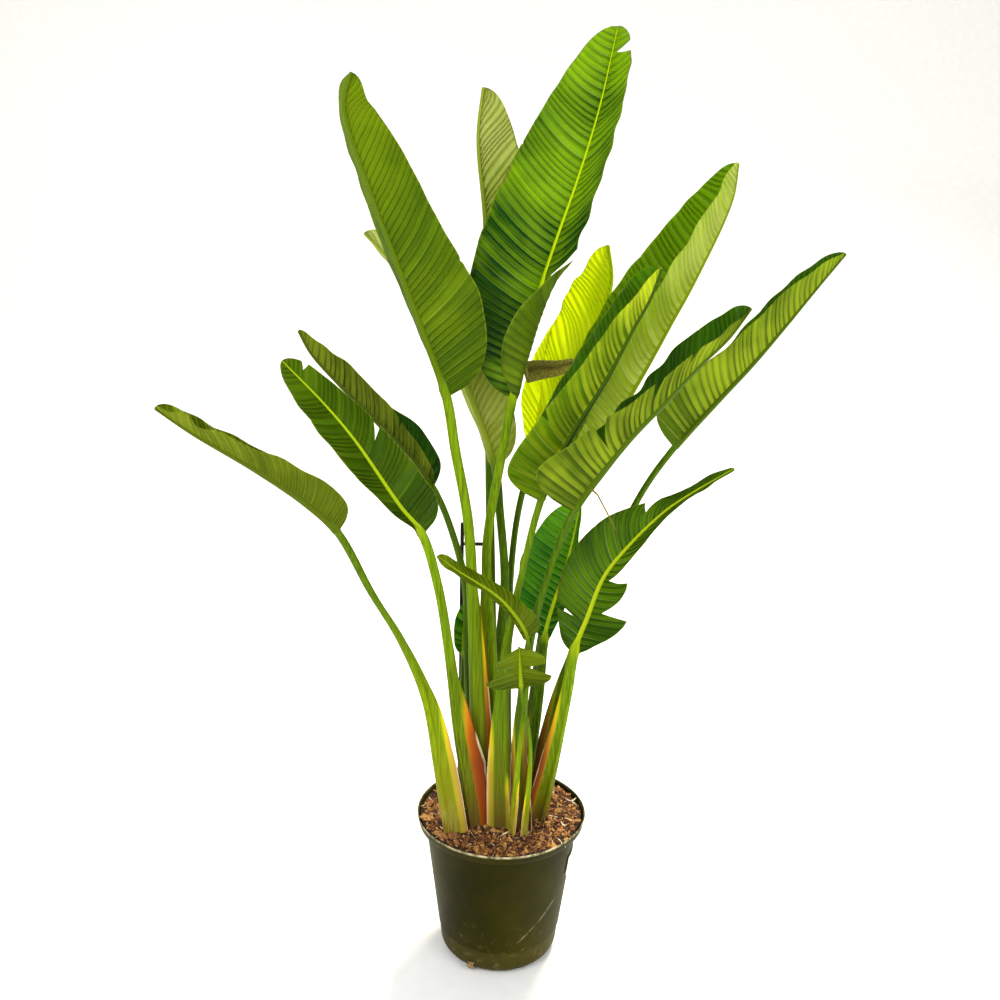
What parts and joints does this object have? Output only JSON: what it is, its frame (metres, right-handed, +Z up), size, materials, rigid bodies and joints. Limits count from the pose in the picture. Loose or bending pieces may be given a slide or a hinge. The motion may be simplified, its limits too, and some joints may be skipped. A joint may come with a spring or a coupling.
{
  "type": "potted plant",
  "caption": "Potted bird of paradise: long stalks with large torn paddle leaves in a round plastic nursery pot filled with bark soil.",
  "frame": {"origin": "middle of the pot's underside, which stands on the ground", "axes": "+Z up along the stalks; -Y towards the side from which the clump is meant to be seen; +X to the right as seen from there"},
  "size_m": [0.928, 0.3722, 1.42],
  "materials": {
    "pot_plastic": "satin",
    "soil": "rough",
    "support_plastic": "satin",
    "leaf": "satin"
  },
  "bodies": {
    "root": {"pot": "pot_plastic", "soil": "soil", "support_frame": "support_plastic", "leaf_tall_left": "leaf", "leaf_back_narrow": "leaf", "leaf_tallest": "leaf", "leaf_behind_tall": "leaf", "leaf_bright": "leaf", "leaf_right_large": "leaf", "leaf_right_lobed": "leaf", "leaf_right_torn": "leaf", "leaf_far_right": "leaf", "leaf_low_right": "leaf", "leaf_low_middle": "leaf", "leaf_small_folded": "leaf", "leaf_small_crescent": "leaf", "leaf_far_left": "leaf", "leaf_left_open": "leaf", "leaf_left_back": "leaf", "leaf_young": "leaf"}
  },
  "joints": []
}
